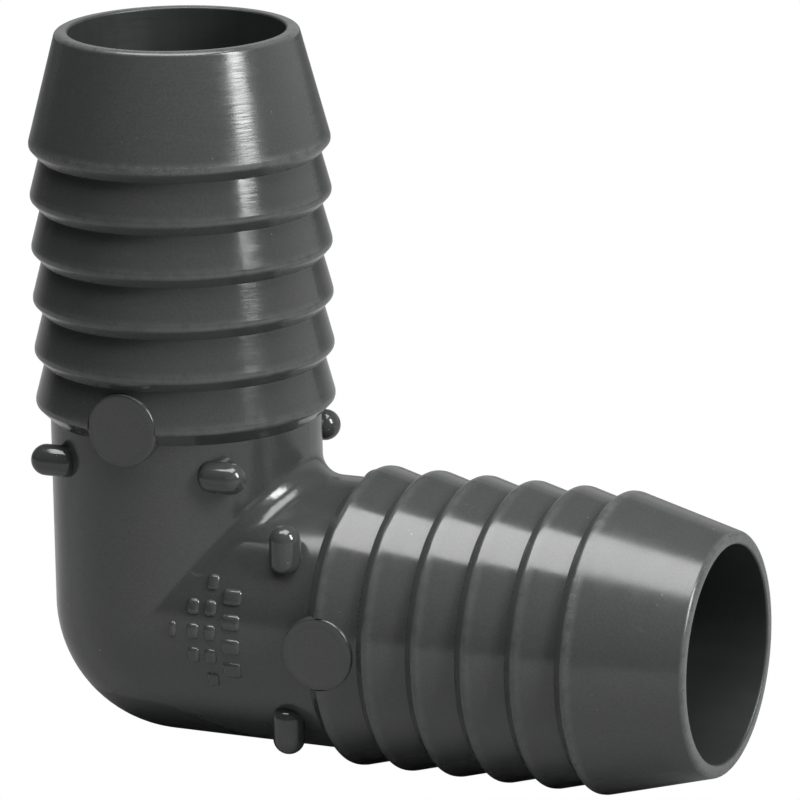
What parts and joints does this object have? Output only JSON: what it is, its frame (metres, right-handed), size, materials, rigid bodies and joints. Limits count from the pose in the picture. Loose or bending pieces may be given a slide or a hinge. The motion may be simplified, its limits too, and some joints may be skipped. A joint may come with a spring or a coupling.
{
  "type": "insert elbow fitting",
  "caption": "Right-angle barbed insert elbow in dark grey plastic, with a round heel, stop pegs and a through bore.",
  "frame": {"origin": "crossing of the two spigot axes, in the middle of the corner chamber", "axes": "+Z out along the top spigot, +X out along the side spigot, pads and marks face -Y"},
  "size_m": [0.0668, 0.0274, 0.0668],
  "materials": {
    "rigid_pvc": "semi-gloss moulded, dark grey"
  },
  "bodies": {
    "root": {"elbow_body": "rigid_pvc", "mark_dash_1": "rigid_pvc", "mark_dash_10": "rigid_pvc", "mark_dash_11": "rigid_pvc", "mark_dash_12": "rigid_pvc", "mark_dash_13": "rigid_pvc", "mark_dash_2": "rigid_pvc", "mark_dash_3": "rigid_pvc", "mark_dash_4": "rigid_pvc", "mark_dash_5": "rigid_pvc", "mark_dash_6": "rigid_pvc", "mark_dash_7": "rigid_pvc", "mark_dash_8": "rigid_pvc", "mark_dash_9": "rigid_pvc", "side_barb_1": "rigid_pvc", "side_barb_2": "rigid_pvc", "side_barb_3": "rigid_pvc", "side_barb_4": "rigid_pvc", "side_barb_5": "rigid_pvc", "side_core_tube": "rigid_pvc", "side_ejector_pad": "rigid_pvc", "side_nose_cone": "rigid_pvc", "side_stop_peg_1": "rigid_pvc", "side_stop_peg_2": "rigid_pvc", "side_stop_peg_3": "rigid_pvc", "side_stop_peg_4": "rigid_pvc", "top_barb_1": "rigid_pvc", "top_barb_2": "rigid_pvc", "top_barb_3": "rigid_pvc", "top_barb_4": "rigid_pvc", "top_barb_5": "rigid_pvc", "top_core_tube": "rigid_pvc", "top_ejector_pad": "rigid_pvc", "top_nose_cone": "rigid_pvc", "top_stop_peg_1": "rigid_pvc", "top_stop_peg_2": "rigid_pvc", "top_stop_peg_3": "rigid_pvc", "top_stop_peg_4": "rigid_pvc"}
  },
  "joints": []
}
